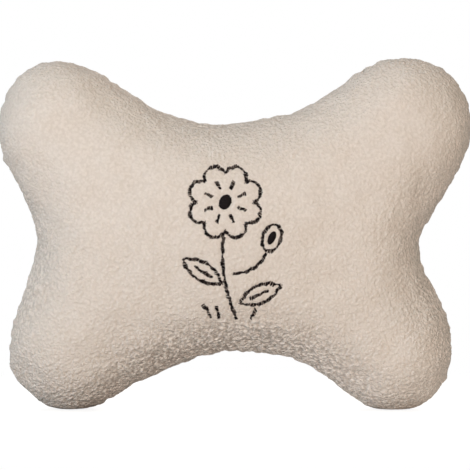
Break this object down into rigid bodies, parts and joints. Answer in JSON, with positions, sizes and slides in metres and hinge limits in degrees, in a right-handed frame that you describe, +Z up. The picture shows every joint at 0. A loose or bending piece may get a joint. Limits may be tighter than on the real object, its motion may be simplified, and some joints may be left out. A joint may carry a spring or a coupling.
{
  "type": "car neck pillow",
  "caption": "Bone-shaped fleece cushion that straps to a car headrest, with an embroidered flower on its front and an elastic band across its back.",
  "frame": {"origin": "on the floor, in the middle of the pillow's box", "axes": "+X to the right seen from the front, -Y towards the viewer (the embroidered front), +Z up"},
  "size_m": [0.3027, 0.1108, 0.2235],
  "materials": {
    "fleece_front": "cream sherpa fleece, short curled pile",
    "fleece_back": "cream sherpa fleece, short curled pile",
    "polyester_fibre": "white crimped polyester fibre",
    "woven_elastic": "off-white ribbed woven elastic",
    "sewing_thread": "cream sewing thread",
    "embroidery_thread": "very dark brown embroidery thread, slight sheen"
  },
  "bodies": {
    "root": {"front_panel": "fleece_front", "back_panel": "fleece_back", "fibre_fill": "polyester_fibre", "headrest_strap": "woven_elastic", "left_tack": "sewing_thread", "right_tack": "sewing_thread", "daisy_outline": "embroidery_thread", "daisy_eye": "embroidery_thread", "main_stem": "embroidery_thread", "left_leaf": "embroidery_thread", "left_leaf_vein": "embroidery_thread", "right_leaf": "embroidery_thread", "right_leaf_vein": "embroidery_thread", "bud_stem": "embroidery_thread", "bud_outline": "embroidery_thread", "bud_seed": "embroidery_thread", "petal_line_1": "embroidery_thread", "petal_line_2": "embroidery_thread", "petal_line_3": "embroidery_thread", "petal_line_4": "embroidery_thread", "petal_line_5": "embroidery_thread", "petal_line_6": "embroidery_thread", "petal_line_7": "embroidery_thread", "petal_line_8": "embroidery_thread", "grass_1": "embroidery_thread", "grass_2": "embroidery_thread", "grass_3": "embroidery_thread"}
  },
  "joints": []
}
